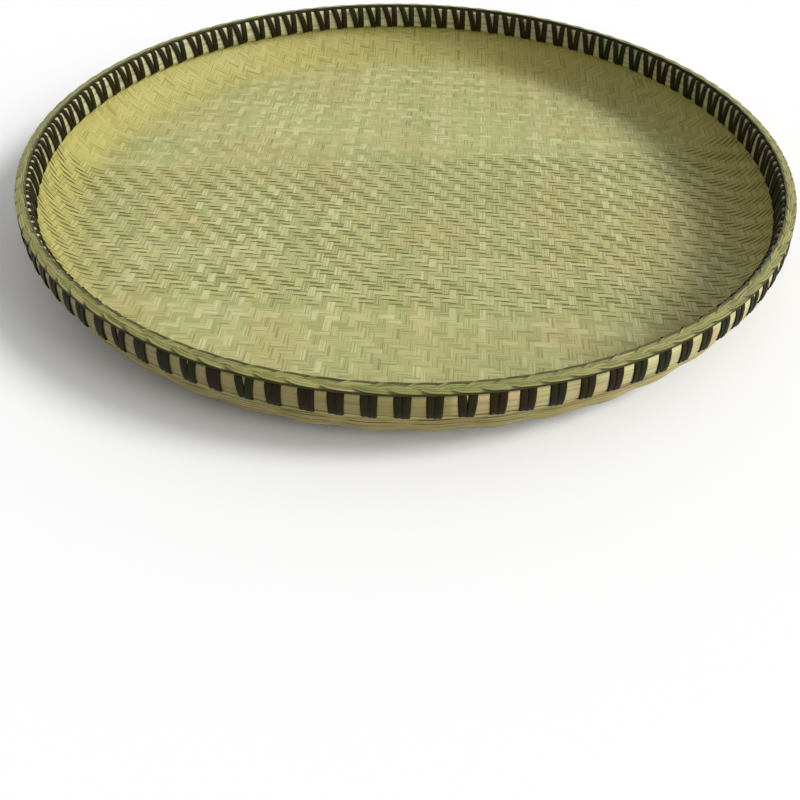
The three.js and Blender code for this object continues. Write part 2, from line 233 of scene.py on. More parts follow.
def ribbons(name, middle, across, outward, half_width, half_depth, section, tone,
            closed=False, smooth=True, edge_shade=0, shade=0):
    """Splits of bamboo as one mesh. A point is the station's middle, plus the direction across times the
    half width and the section's first number, plus the outward direction times the half depth and its
    second number. middle, across and outward have a row for each ribbon and a column for each station.
    Its UV is the length along the ribbon and the length round its section, in metres, the section being
    taken as deep as it is wide. Its edge value runs from minus one at one edge to one at the other, times
    one plus the edge shade, which paints shade on the edges. Its shade is the share of the finish's shade
    colour, which paints shade, and on the mat's wall a tint too. The faces are turned over where the
    volume that they enclose comes out below zero, so that they face outwards."""
    section = np.asarray(section, float)
    count, stations = middle.shape[:2]
    corners = len(section)
    half_width = np.broadcast_to(half_width, (count, stations))[..., None, None]
    half_depth = np.broadcast_to(half_depth, (count, stations))[..., None, None]
    offset_across = across[:, :, None, :] * section[None, None, :, :1] * half_width
    offset_outward = outward[:, :, None, :] * section[None, None, :, 1:] * half_depth
    points = middle[:, :, None, :] + offset_across + offset_outward

    index = np.arange(count * stations * corners).reshape(count, stations, corners)
    start = index if closed else index[:, :-1]
    end = np.roll(index, -1, axis=1) if closed else index[:, 1:]
    quads = np.stack([start, np.roll(start, -1, 2), np.roll(end, -1, 2), end], -1).reshape(-1, 4)

    steps = np.linalg.norm(np.diff(middle, axis=1, append=middle[:, :1]), axis=-1)
    along = np.concatenate([np.zeros((count, 1)), np.cumsum(steps, axis=1)], axis=1) * MM
    spans = stations if closed else stations - 1
    begin = np.broadcast_to(along[:, :spans, None], (count, spans, corners))
    stop = np.broadcast_to(along[:, 1:spans + 1, None], (count, spans, corners))
    sides = np.linalg.norm(np.roll(section, -1, 0) - section, axis=1) * np.mean(half_width) * MM
    round_section = np.concatenate([[0], np.cumsum(sides)])
    lower = np.broadcast_to(round_section[:-1], begin.shape)
    upper = np.broadcast_to(round_section[1:], begin.shape)
    uv = np.stack([np.stack([begin, lower], -1), np.stack([begin, upper], -1),
                   np.stack([stop, upper], -1), np.stack([stop, lower], -1)], axis=-2).reshape(-1, 4, 2)

    groups = [quads]
    uvs = [uv]
    if not closed:
        groups.append(np.concatenate([index[:, 0, ::-1], index[:, -1]]))
        uvs.append(np.zeros((2 * count, corners, 2)))
    flat = points.reshape(-1, 3)
    first, second, third, fourth = (flat[quads[:, corner]] for corner in range(4))
    volume = np.sum(first * np.cross(second, third)) + np.sum(first * np.cross(third, fourth))
    if volume < 0:
        groups = [faces[:, ::-1] for faces in groups]
        uvs = [corner_values[:, ::-1] for corner_values in uvs]
    corner_uv = np.concatenate([corner_values.reshape(-1, 2) for corner_values in uvs])
    shape = (count, stations, corners)
    tones = np.broadcast_to(np.reshape(np.broadcast_to(tone, count), (count, 1, 1)), shape)
    edge_shade = np.broadcast_to(edge_shade, (count, stations))[..., None]
    edges = np.broadcast_to(section[None, None, :, 0] * (1 + edge_shade), shape)
    shades = np.broadcast_to(np.broadcast_to(shade, (count, stations))[..., None], shape)
    return mesh_piece(name, flat, groups, corner_uv, smooth, tone=tones, edge=edges, shade=shades)


def directions(middle, outward, closed=False):
    """The direction across each station, which is the run of the line crossed with the outward direction,
    and the outward direction turned square to the run."""
    if closed:
        run = np.roll(middle, -1, axis=1) - np.roll(middle, 1, axis=1)
    else:
        run = np.gradient(middle, axis=1)
    across = unit(np.cross(unit(run), outward))
    return across, unit(np.cross(across, unit(run)))


# Sections of a split: across and outward, in half widths and half depths
FLAT_SPLIT = ((-1, -0.9), (1, -0.9), (1, 0.4), (0.55, 1), (-0.55, 1), (-1, 0.4))
TWIN_SPLIT = ((-1, -0.6), (1, -0.6), (0.6, 1), (0, 0.1), (-0.6, 1))
BOX_SPLIT = ((-1, -1), (1, -1), (1, 1), (-1, 1))
ROUND_SPLIT = ((-1, 0), (-0.7, -0.8), (0.7, -0.8), (1, 0), (0.7, 0.8), (-0.7, 0.8))


# Mat

def mat_splits(name, is_weft, low, high):
    """The mat's splits in one direction, from place low to place high. Before it is pressed into the tray
    the mat is flat, with a split every pitch, and each passes over two and under two of the others: at
    crossing number i of split number j a weft is over where i plus j, over 4, leaves less than 2, and a
    warp is where the weft is under. Its height is a clipped sine of that. The distance from the flat
    mat's middle then becomes the reach in the bowl. Over a band in the middle the wefts are a little
    slack and narrower, and their edges get painted shade for the shadow in the slits between them. On
    the wall the mat takes a deeper ochre colour, partly its own tint and partly painted shade."""
    count = int(MAT_REACH // SPLIT_PITCH) * 2 + 1
    number = np.arange(count) - count // 2
    number = number[(number * SPLIT_PITCH >= low) & (number * SPLIT_PITCH < high)]
    place = number * SPLIT_PITCH
    half_length = np.sqrt(np.maximum(MAT_REACH ** 2 - place ** 2, 1))
    length = half_length[:, None] * np.linspace(-1, 1, 2 * count + 1)[None, :]
    shift = 0.5 if is_weft else -1.5
    phase = (length / SPLIT_PITCH + number[:, None] + shift) / 4
    wave = np.clip(1.6 * np.sin(TAU * phase), -1, 1)
    chance = rng.uniform(0, 1, len(place))[:, None]
    wander = 0.5 + 0.5 * np.sin(length * 0.045 + chance * 40) * np.sin(length * 0.017 + chance * 90)
    band = smooth_step(*SLACK_NEAR, place[:, None])
    band = band * (1 - smooth_step(*SLACK_FAR, place[:, None] - SLACK_TILT * length))
    slack = band * (0.35 + 0.65 * wander) * (0.6 + 0.4 * chance) * is_weft
    side = place[:, None] + 0.1 * np.sin(length * 0.11 + number[:, None]) + 0.25 * slack
    turn = np.array([[np.cos(MAT_TURN), -np.sin(MAT_TURN)], [np.sin(MAT_TURN), np.cos(MAT_TURN)]])
    flat = (np.stack([length, side], -1) if is_weft else np.stack([side, length], -1)) @ turn.T
    run = turn @ (np.array([1.0, 0.0]) if is_weft else np.array([0.0, 1.0]))

    def placed(sideways, outside):
        """Points in the bowl, sideways of the splits' lines by one number and outside the mat by another."""
        x = flat[..., 0] - run[1] * sideways
        y = flat[..., 1] + run[0] * sideways
        radius, height = bowl(np.minimum(np.hypot(x, y), MAT_REACH), outside)
        return polar(radius, np.arctan2(y, x), height)

    outside = -MAT_THICKNESS / 2 - (0.05 + 0.12 * slack) * wave
    middle = placed(0, outside)
    across = unit(placed(0.5, outside) - placed(-0.5, outside))
    outward = unit(placed(0, outside - 1) - middle)
    reach = np.hypot(flat[..., 0], flat[..., 1])
    width = SPLIT_PITCH / 2 * (0.995 - 0.14 * slack)
    tone = rng.uniform(0, 1, len(place))
    # Painted shade on the wall, with the wall's own deeper ochre tint, and on the slack wefts' edges.
    shade = 0.75 * smooth_step(FLOOR_RADIUS - 14, FLOOR_RADIUS + 28, reach)
    return ribbons(name, middle, across, outward, width, SPLIT_HALF_DEPTH, BOX_SPLIT, tone, smooth=False,
                   edge_shade=1.35 * slack, shade=shade)


# Floor lattice

def lean_angle(reach):
    """How far a strip's angle has yet to turn before its end. Out to the second ring the strip is a straight
    line that passes the middle at the lean, so this is the angle whose sine is the lean over the
    radius, less what is left there by the outer rule. From the third ring on it is the angle of half
    the gap within a pair, plus the sweep times the logarithm of the heel's radius over the radius."""
    radius = np.clip(reach, OUTER_LEAN + 1, HEEL_RADIUS)
    inner = np.arcsin(OUTER_LEAN / radius) - LEAN_LEFT
    outer = PAIR_OFFSET / HEEL_RADIUS + END_SWEEP * np.log(HEEL_RADIUS / radius)
    blend = smooth_step(*LEAN_CHANGE, reach)
    return inner * (1 - blend) + outer * blend


def strip_height(reach, turn):
    """The height of a strip's middle. The half that runs anticlockwise from its middle lies above the
    first and third rings and below the others; the other half does the opposite. Each height is the
    mean of the heights a little further in and a little further out, which rounds the bends."""
    high, low = UPPER_LAYER, LOWER_LAYER
    heights = (high, low, low, high, high, low, low, high)
    if turn < 0:
        heights = (low, high, high, low, low, high, high, high)
    nearer = np.interp(reach - LAYER_ROUNDING, LAYER_MARKS, heights)
    farther = np.interp(reach + LAYER_ROUNDING, LAYER_MARKS, heights)
    return (nearer + farther) / 2


def floor_strips(name):
    """The strips that cross the floor, 8 to a bundle and 6 bundles round the middle hole. At the hole a
    bundle's strips are straight, side by side, and stacked like cards. From there each bends to its own
    direction, and runs straight to the second ring and then outwards, where two ends make a pair and
    follow the bowl up to the rim. One half of each strip passes the hole below its neighbours, the
    other above; they change places at radius 43 and then between each ring and the next. A strip has
    painted shade where it lies nearer to the mat, most of all near the hole, on its edges near the hole,
    and on the wall, where it is seen between the rows."""
    bundle = np.repeat(np.arange(BUNDLE_COUNT), BUNDLE_STRIPS)[:, None]
    place = np.tile(np.arange(BUNDLE_STRIPS) - (BUNDLE_STRIPS - 1) / 2, BUNDLE_COUNT)[:, None]
    bundle_angle = bundle * TAU / BUNDLE_COUNT
    own_angle = bundle_angle + place * TAU / PAIR_COUNT
    offset = HUB_INNER + HUB_STEP * (place + (BUNDLE_STRIPS - 1) / 2)
    share = np.linspace(0, 1, STRIP_STATIONS)[None, :]
    run = share * np.sqrt((MAT_REACH - STRIP_SHORT) ** 2 - offset ** 2)
    reach = np.hypot(run, offset)
    halves = []
    heights = []
    for turn in (-1, 1):
        near = bundle_angle + turn * np.arctan2(run, offset)
        far = own_angle + turn * (END_TURN - lean_angle(reach))
        blend = smooth_step(*HUB_BEND, reach)
        stray = rng.normal(0, STRAY, (len(bundle), 1)) * smooth_step(*STRAY_BEGINS, reach)
        stray = stray * (1 - smooth_step(*STRAY_ENDS, reach))
        angle = near * (1 - blend) + far * blend + stray / reach
        hub = HUB_HEIGHT - turn * HUB_RISE * np.tanh(run / HUB_CROSSING)
        leave = smooth_step(*HUB_LEAVE, reach)
        stack = place * (STACK_STEP - STACK_LOSS * smooth_step(*HUB_FAN, reach))
        stack = stack * (1 - smooth_step(*HUB_LEVEL, reach))
        height = hub * (1 - leave) + strip_height(reach, turn) * leave + stack
        wall = smooth_step(FLOOR_RADIUS - 6, FLOOR_RADIUS + 20, reach)
        held = smooth_step(FLOOR_RADIUS + 46, FLOOR_RADIUS + 54, reach)
        stake = STAKE_OUTSIDE - (STAKE_OUTSIDE - HELD_OUTSIDE) * held
        radius, bowl_height = bowl(reach, (FLOOR_UNDER - height) * (1 - wall) + stake * wall)
        halves.append(polar(radius, angle, bowl_height))
        heights.append(height)
    middle = np.concatenate([halves[0][:, :0:-1], halves[1]], axis=1)
    height = np.concatenate([heights[0][:, :0:-1], heights[1]], axis=1)
    reach = np.concatenate([reach[:, :0:-1], reach], axis=1)
    slope = np.clip((reach - FLOOR_RADIUS) / SHOULDER_LENGTH, 0, 1) * QUARTER
    angle = np.arctan2(middle[..., 1], middle[..., 0])
    outward = polar(np.sin(slope), angle, -np.cos(slope))
    across, outward = directions(middle, outward)
    width = HUB_WIDTH + (STRIP_WIDTH - HUB_WIDTH) * smooth_step(*HUB_WIDEN, reach)
    thickness = HUB_THICKNESS + (STRIP_THICKNESS - HUB_THICKNESS) * smooth_step(*HUB_THICKEN, reach)
    tone = rng.uniform(0, 1, len(bundle))
    # Painted shade: on strips nearer the mat, most of all near the hole, on the wall's stakes between the
    # rows, and on edges near the hole.
    depth_share = np.clip((height - LOWER_LAYER) / (UPPER_LAYER - LOWER_LAYER), 0, 1)
    near_hole = (1 - smooth_step(84, 125, reach)) * smooth_step(40, 52, reach)
    on_wall = smooth_step(FLOOR_RADIUS, FLOOR_RADIUS + 10, reach)
    shade = np.maximum(depth_share * (0.12 + 0.6 * near_hole), 0.8 * on_wall)
    edge_shade = 0.9 * (1 - smooth_step(90, 150, reach)) * smooth_step(30, 60, reach)
    return ribbons(name, middle, across, outward, width / 2, thickness / 2, FLAT_SPLIT, tone,
                   edge_shade=edge_shade, shade=shade)


def floor_rings(name):
    """Rings of splits laid side by side between the strips: circles whose height ripples by a sixth of a
    millimetre as the strips press on them, and whose radius wanders by a quarter."""
    stations = 384
    angle = np.linspace(0, TAU, stations, endpoint=False)
    radii = []
    for radius, splits in zip(FLOOR_RING_RADII, FLOOR_RING_SPLITS):
        radii.extend(radius + (np.arange(splits) - (splits - 1) / 2) * RING_SPLIT_PITCH)
    radii = np.array(radii)
    ripple = 0.16 * np.sin(angle[None, :] * PAIR_COUNT + radii[:, None])
    wander = 0.25 * np.sin(angle[None, :] * 7 + radii[:, None] * 3)
    middle = polar(radii[:, None] + wander, angle[None, :], RING_HEIGHT + ripple)
    outward = np.broadcast_to(np.array([0.0, 0.0, -1.0]), middle.shape)
    across, outward = directions(middle, outward, closed=True)
    tone = rng.uniform(0.55, 1, len(radii))
    return ribbons(name, middle, across, outward, 1.12, 0.62, ROUND_SPLIT, tone, closed=True)


def standing_border(name):
    """Six thin splits twisted into a cord along a circle: each goes round the circle's line by an
    ellipse of half sizes 1.9 wide and 1.4 high, a sixth of a turn from the next."""
    stations = 960
    splits = 6
    turns = 15
    angle = np.linspace(0, TAU, stations, endpoint=False)
    phase = turns * angle[None, :] + np.arange(splits)[:, None] * TAU / splits + 0.5 * np.sin(angle * 4)
    radius = HEEL_RADIUS + 1.9 * np.cos(phase)
    height = HEEL_HEIGHT + 1.4 * np.sin(phase)
    middle = polar(radius, angle[None, :], height)
    outward = polar(np.cos(phase), angle[None, :], np.sin(phase))
    across, outward = directions(middle, outward, closed=True)
    tone = rng.uniform(0.3, 1, splits)
    return ribbons(name, middle, across, outward, 1.1, 0.7, ROUND_SPLIT, tone, closed=True)


# Wall

def wall_rows(name, first, last):
    """Weavers of the wall. Each passes outside one pair of stakes and inside the next, and the row above
    does the opposite. Its distance outside the mat is a cosine of the angle round the tray, with one
    half wave to each pair, times 0.35 plus 0.65 of its own square, so that the rows lie side by side
    for a while between pairs. It swings less where the hoops hold the stakes. A weaver is widest where
    it passes a pair."""
    rows = np.arange(first, last)
    pitch = (LAST_ROW - FIRST_ROW) / (2 * ROW_PAIRS - 1)
    stations = PAIR_COUNT * 8
    angle = np.linspace(0, TAU, stations, endpoint=False)
    pair_phase = (angle + np.pi / PAIR_COUNT) * PAIR_COUNT / 2
    wave = np.cos(pair_phase[None, :] + np.pi * (rows[:, None] % 2))
    wave = wave * (0.35 + 0.65 * wave ** 2)
    width = pitch * (0.56 + 0.2 * wave ** 2)
    drift = 0.2 * np.sin(angle[None, :] * 9 + rows[:, None] * 1.7)
    drift = drift + 0.13 * np.sin(angle[None, :] * 23 + rows[:, None])
    reach = FLOOR_RADIUS + FIRST_ROW + rows[:, None] * pitch + drift
    free = 1 - smooth_step(FLOOR_RADIUS + 30, FLOOR_RADIUS + 48, reach)
    outside = ROW_OUTSIDE + 0.25 * free + (ROW_SWING + 0.6 * free) * wave
    radius, height = bowl(reach, outside)
    middle = polar(radius, angle[None, :], height)
    beyond = bowl(reach, outside + 1)
    outward = unit(polar(beyond[0], angle[None, :], beyond[1]) - middle)
    across, outward = directions(middle, outward, closed=True)
    tone = rng.uniform(0, 1, len(rows))
    return ribbons(name, middle, across, outward, width, ROW_HALF_DEPTH, ROUND_SPLIT, tone, closed=True)


# Rim

def hoop(name, profile):
    """A hoop: a closed profile of radii and heights turned round the tray. Its shade value is nothing on
    the right front, grows anticlockwise to its full on the left front and drops back at once just right
    of the front; on the outer hoop it is painted shade, darker on the left, away from the light."""
    profile = np.asarray(profile, float)
    stations = 480
    angle = np.linspace(0, TAU, stations, endpoint=False)
    middle = polar(profile[:, 0].mean(), angle, profile[:, 1].mean())[None]
    across = polar(np.ones(stations), angle, 0)[None]
    outward = np.broadcast_to(np.array([0.0, 0.0, 1.0]), middle.shape)
    section = profile - profile.mean(axis=0)
    # Painted shade on the outer hoop, darker on the left, away from the light from the right.
    past_shade_seam = (angle - HOOP_SHADE_SEAM) % TAU / TAU
    shade = smooth_step(0.12, 0.85, past_shade_seam)
    return ribbons(name, middle, across, outward, 1.0, 1.0, section, 0.5, closed=True, shade=shade)


def outer_hoop_profile():
    """Rounded outside, as bent lath is: nearly upright up to height 45.5, then a quarter of an ellipse, as
    thick as the hoop and as high as what is left of the rim."""
    turn = np.linspace(0, 1.5, 8)
    bend_height = 45.5
    face_radius = OUTER_HOOP_INNER + (OUTER_HOOP_OUTER - OUTER_HOOP_INNER) * np.cos(turn)
    face_height = bend_height + (RIM_HEIGHT + 0.2 - bend_height) * np.sin(turn)
    lower = [(OUTER_HOOP_INNER, OUTER_HOOP_LOWER), (OUTER_HOOP_OUTER - 0.8, OUTER_HOOP_LOWER),
             (OUTER_HOOP_OUTER - 0.2, OUTER_HOOP_LOWER + 1), (OUTER_HOOP_OUTER, OUTER_HOOP_LOWER + 3.5)]
    return lower + list(zip(face_radius, face_height)) + [(OUTER_HOOP_INNER, RIM_HEIGHT + 0.2)]


def inner_hoop_profile():
    """Convex towards the middle: the face bulges by a parabola between its edges, and its foot stands half
    a millimetre further in than its top."""
    share = np.linspace(0, 1, 7)
    face_radius = INNER_HOOP_INNER - 0.5 * (1 - share) + 0.7 * (2 * share - 1) ** 2
    face_height = INNER_HOOP_LOWER + (RIM_HEIGHT - INNER_HOOP_LOWER) * share
    back = [(INNER_HOOP_OUTER, RIM_HEIGHT), (INNER_HOOP_OUTER, INNER_HOOP_LOWER + 4),
            (INNER_HOOP_OUTER - 0.7, INNER_HOOP_LOWER)]
    return list(zip(face_radius, face_height)) + back


def lashings(name):
    """Two strips at each lashing. Both come out of the wall under the outer hoop, go up its face, over the
    top under the plait and down the inner hoop's face, where they come together again. The distance
    along the rim goes with each station's share of the way from the outer foot to the outer top, which
    is 1, and on to the inner foot, which is 2. One strip of the two lies over the other, by the lift
    along the direction that is square to the line and points away from the rim's core."""
    line = np.array([
        # radius, height, share of the way
        (296.6, 36.7, 0.0), (299.1, 37.7, 0.04), (299.65, 42.0, 0.25), (299.5, 46.2, 0.49),
        (298.95, 50.0, 0.72), (297.7, 53.3, 0.9), (295.7, 55.2, 1.05), (293.0, 55.75, 1.35),
        (290.0, 55.6, 1.57), (288.5, 54.0, 1.64), (288.05, 48.5, 1.78), (287.85, 43.0, 1.9),
        (288.05, 38.0, 1.98), (290.4, 35.7, 2.02),
    ])
    legs = np.tile([-1.0, 1.0], LASHINGS)
    hole = np.repeat(np.arange(LASHINGS), 2)
    jitter = rng.normal(0, 0.45, LASHINGS)[hole]
    spread = rng.uniform(0.0, 1.0, LASHINGS)[hole]
    lashing_angle = -QUARTER + hole * TAU / LASHINGS + jitter / LASH_RADIUS
    foot = 1.75 + 0.1 * spread
    outer_top = np.where(legs < 0, 2.5, 2.35) + 1.9 * spread ** 4
    inner_top = np.where(legs > 0, 8.2, 2.2) + rng.normal(0, 0.35, len(legs))
    inner_foot = np.where(legs > 0, 2.5, 2.6)
    share = line[None, :, 2]
    rising = foot[:, None] + (outer_top - foot)[:, None] * np.clip(share, 0, 1)
    crossing = (inner_top - outer_top)[:, None] * smooth_step(0.95, 1.5, share)
    falling = (inner_foot - inner_top)[:, None] * np.clip((share - 1.55) / 0.45, 0, 1)
    distance = rising + crossing + falling
    angle = lashing_angle[:, None] + legs[:, None] * distance / LASH_RADIUS
    lift = np.where(legs > 0, 0.32, 0.0)[:, None]
    tangent = np.gradient(line[:, :2], axis=0)
    normal = unit(np.stack([tangent[:, 1], -tangent[:, 0]], -1))
    normal = normal * np.sign(np.sum(normal * (line[:, :2] - LASH_CORE), -1, keepdims=True))
    radius = line[None, :, 0] + normal[None, :, 0] * lift
    height = line[None, :, 1] + normal[None, :, 1] * lift
    middle = polar(radius, angle, height)
    outward = unit(polar(normal[None, :, 0], angle, normal[None, :, 1]))
    across, outward = directions(middle, outward)
    tone = rng.uniform(0, 1, LASHINGS)[hole] * 0.8 + rng.uniform(0, 0.2, len(legs))
    return ribbons(name, middle, across, outward, LASH_HALF_WIDTH, LASH_HALF_DEPTH, TWIN_SPLIT, tone)


def rim_plait(name):
    """Flat plait of three strands, each of three splits. A strand's distance from the plait's middle is the
    hyperbolic tangent of twice a sine of the length along the rim, so that it runs beside each edge for
    a while. Its height is a sine of twice the phase, the strands being a third of a turn apart. It has
    painted shade where it dives under the others and along the plait's inner edge. The plait slopes
    down outwards by a fifth of its width."""
    stations = 1400
    angle = np.linspace(0, TAU, stations, endpoint=False)
    strand = np.repeat(np.arange(PLAIT_STRANDS), 3)[:, None]
    which = np.tile([-1.0, 0.0, 1.0], PLAIT_STRANDS)[:, None]
    phase = PLAIT_TURNS * angle[None, :] + strand * TAU / PLAIT_STRANDS
    phase = phase + 0.3 * np.sin(angle * 5) + 0.15 * np.sin(angle * 13)
    sideways = PLAIT_SWING * np.tanh(2 * np.sin(phase)) + which * (PLAIT_SPLIT_PITCH + 0.08 * np.cos(phase))
    height = PLAIT_BASE + 0.75 + 0.26 * np.sin(2 * phase) - 0.2 * sideways
    height = height + 0.04 * which * np.sin(angle * 41 + strand)
    middle = polar(PLAIT_MIDDLE + sideways, angle[None, :], height)
    outward = np.broadcast_to(polar(0.2, angle, 0.98)[None], middle.shape)
    across, outward = directions(middle, outward, closed=True)
    tone = rng.uniform(0, 1, len(strand))
    # Painted shade where a split dives under the others and along the plait's inner edge.
    diving = smooth_step(0.25, 0.95, -np.sin(2 * phase))
    inner_edge = smooth_step(2.4, 3.3, -sideways)
    shade = np.maximum(0.85 * diving, 0.8 * inner_edge)
    return ribbons(name, middle, across, outward, 0.8, 0.2, ROUND_SPLIT, tone, closed=True, shade=shade)


def rim_shade_bed_profile():
    """A dark sheet under the plait, painted shade with the lashings' dark tops, which also covers the
    trimmed ends of mat and strips: four corners.
    """
    return [(291.2, 55.2), (298.9, 54.2), (298.95, 55.5), (291.4, 57.0)]


def edge_split(name):
    """The thin split under the outer hoop: a circle with a slow ripple in its radius and its height."""
    stations = 720
    angle = np.linspace(0, TAU, stations, endpoint=False)
    radius = EDGE_RADIUS + 0.2 * np.sin(angle * 17)
    height = EDGE_HEIGHT + 0.25 * np.sin(angle * 11)
    middle = polar(radius, angle, height)[None]
    outward = polar(1.0, angle, 0.0)[None]
    across, outward = directions(middle, outward, closed=True)
    return ribbons(name, middle, across, outward, 0.95, 0.7, ROUND_SPLIT, np.array([0.8]), closed=True)


# Finishes

# How far apart the noise of tone 0 and of tone 1 lies, along a split and across it
TONE_APART = (311.0, 173.0)
RELIEF_HEIGHT = 0.0002


def colour(code):
    """Linear colour from the two-digit hex values of red, green and blue."""
    shares = [int(code[place:place + 2], 16) / 255 for place in (0, 2, 4)]
    linear = [share / 12.92 if share <= 0.04045 else ((share + 0.055) / 1.055) ** 2.4 for share in shares]
    return tuple(linear) + (1.0,)


def ramp(tree, factor, stops):
    """Colours by factor, from (position, colour code) pairs."""
    node = tree.nodes.new("ShaderNodeValToRGB")
    elements = node.color_ramp.elements
    while len(elements) < len(stops):
        elements.new(0.5)
    for element, (position, code) in zip(elements, stops):
        element.position = position
        element.color = colour(code)
    tree.links.new(factor, node.inputs["Fac"])
    return node.outputs["Color"]


def noise(tree, vector, scale, detail, distortion=0.0):
    """Soft noise at a place, from 0 to 1."""
    node = tree.nodes.new("ShaderNodeTexNoise")
    node.inputs["Scale"].default_value = scale
    node.inputs["Detail"].default_value = detail
    node.inputs["Distortion"].default_value = distortion
    tree.links.new(vector, node.inputs["Vector"])
    return node.outputs["Fac"]


def compute(tree, operation, first, second):
    """One sum, product or other operation on two numbers or outputs."""
    node = tree.nodes.new("ShaderNodeMath")
    node.operation = operation
    for socket, value in zip(node.inputs, (first, second)):
        if isinstance(value, (int, float)):
            socket.default_value = value
        else:
            tree.links.new(value, socket)
    return node.outputs["Value"]


def mix(tree, blend, factor, first, second):
    """Two colours blended by a factor."""
    node = tree.nodes.new("ShaderNodeMix")
    node.data_type = "RGBA"
    node.blend_type = blend
    for socket, value in ((node.inputs["Factor"], factor), (node.inputs[6], first), (node.inputs[7], second)):
        if isinstance(value, (int, float, tuple)):
            socket.default_value = value
        else:
            tree.links.new(value, socket)
    return node.outputs[2]


def background_rays(tree):
    """1 for rays from the camera, off glossy surfaces and through clear ones, 0 for all others."""
    rays = tree.nodes.new("ShaderNodeLightPath")
    seen = rays.outputs["Is Camera Ray"]
    for kind in ("Is Glossy Ray", "Is Transmission Ray"):
        seen = compute(tree, "MAXIMUM", seen, rays.outputs[kind])
    return seen


def bamboo(name, stops, patch_code, patch_amount=0.5, grain_depth=0.6, grain_across=900.0, roughness=0.5,
           bump=0.25, edge_depth=0.5, edge_code="6f6c3a", shade_code=None, gloss=0.35, drift_along=11.0,
           edge_stops=((0.4, "000000"), (0.5, "606060"), (0.56, "b8b8b8"), (0.8, "ffffff"))):
    """Split bamboo. Each split's tone picks its colour, which drifts along the split. Slow patches of a
    second colour lie over neighbouring splits, and the shade value brings in a third colour, which is
    painted shade, and on the mat's wall a tint as well. Fine lines run along each split, in its colour and
    its relief, and its edges are darker, the more so the larger the edge value, which is over 1 where
    painted shade is put on a split's edges: on slack wefts and near the hole. Scales are in cycles a metre."""
    material = bpy.data.materials.new(name)
    material.use_nodes = True
    tree = material.node_tree
    shader = tree.nodes["Principled BSDF"]
    place = tree.nodes.new("ShaderNodeTexCoord")

    def attribute(label):
        """The named value of the mesh's points."""
        node = tree.nodes.new("ShaderNodeAttribute")
        node.attribute_name = label
        return node.outputs["Fac"]

    tone = attribute("tone")
    apart = tree.nodes.new("ShaderNodeCombineXYZ")
    for axis, distance in zip("XY", TONE_APART):
        tree.links.new(compute(tree, "MULTIPLY", tone, distance), apart.inputs[axis])

    def streaks(along, across, detail):
        """Noise drawn out along the split, at a place of its own for each tone."""
        stretch = tree.nodes.new("ShaderNodeVectorMath")
        stretch.operation = "MULTIPLY_ADD"
        stretch.inputs[1].default_value = (along, across, 1.0)
        tree.links.new(place.outputs["UV"], stretch.inputs[0])
        tree.links.new(apart.outputs["Vector"], stretch.inputs[2])
        return noise(tree, stretch.outputs["Vector"], 1.0, detail)

    grain = streaks(14.0, grain_across, 3.0)
    drift = streaks(drift_along, 60.0, 2.0)
    drifting = compute(tree, "MULTIPLY", compute(tree, "SUBTRACT", drift, 0.5), 1.1)
    base = ramp(tree, compute(tree, "ADD", tone, drifting), stops)
    patches = noise(tree, place.outputs["Object"], 13.0, 3.0, 0.6)
    patch_share = ramp(tree, patches, ((0.5, "000000"), (0.66, "ffffff")))
    base = mix(tree, "MIX", compute(tree, "MULTIPLY", patch_share, patch_amount), base, colour(patch_code))
    if shade_code:
        base = mix(tree, "MIX", attribute("shade"), base, colour(shade_code))
    lines = ramp(tree, grain, ((0.36, "8a8a7a"), (0.52, "ffffff")))
    base = mix(tree, "MULTIPLY", grain_depth, base, lines)
    edge = compute(tree, "MULTIPLY", compute(tree, "ABSOLUTE", attribute("edge"), 0.0), 0.5)
    dark = ramp(tree, edge, edge_stops)
    base = mix(tree, "MIX", compute(tree, "MULTIPLY", dark, edge_depth), base, colour(edge_code))
    tree.links.new(base, shader.inputs["Base Color"])
    shader.inputs["Roughness"].default_value = roughness
    shader.inputs["IOR"].default_value = 1.45
    shader.inputs["Specular IOR Level"].default_value = gloss
    relief = tree.nodes.new("ShaderNodeBump")
    relief.inputs["Strength"].default_value = bump
    relief.inputs["Distance"].default_value = RELIEF_HEIGHT
    tree.links.new(grain, relief.inputs["Height"])
    tree.links.new(relief.outputs["Normal"], shader.inputs["Normal"])
    return material


def plain_floor(name):
    """A floor that fades into the white around it, between 0.83 and 1.45 metres from the tray's middle.
    The camera and glossy surfaces see it pale, and dull ones are lit by it as by a darker one, so that
    the wall's underside has its shade."""
    mesh = bpy.data.meshes.new(name)
    half = GROUND_SIZE / 2
    corners = [(-half, -half, 0), (half, -half, 0), (half, half, 0), (-half, half, 0)]
    mesh.from_pydata(corners, [], [(0, 1, 2, 3)])
    floor = bpy.data.objects.new(name, mesh)
    bpy.context.collection.objects.link(floor)
    material = bpy.data.materials.new(name)
    material.use_nodes = True
    tree = material.node_tree
    shader = tree.nodes["Principled BSDF"]
    seen = background_rays(tree)
    tree.links.new(mix(tree, "MIX", seen, GROUND_THROWN, GROUND_SEEN), shader.inputs["Base Color"])
    shader.inputs["Roughness"].default_value = 1.0
    shader.inputs["Specular IOR Level"].default_value = 0.0
    place = tree.nodes.new("ShaderNodeTexCoord")
    distance = tree.nodes.new("ShaderNodeVectorMath")
    distance.operation = "LENGTH"
    tree.links.new(place.outputs["Object"], distance.inputs[0])
    left = compute(tree, "SUBTRACT", GROUND_END, distance.outputs["Value"])
    tree.links.new(compute(tree, "MULTIPLY", left, GROUND_FADE), shader.inputs["Alpha"])
    mesh.materials.append(material)


# Camera and light

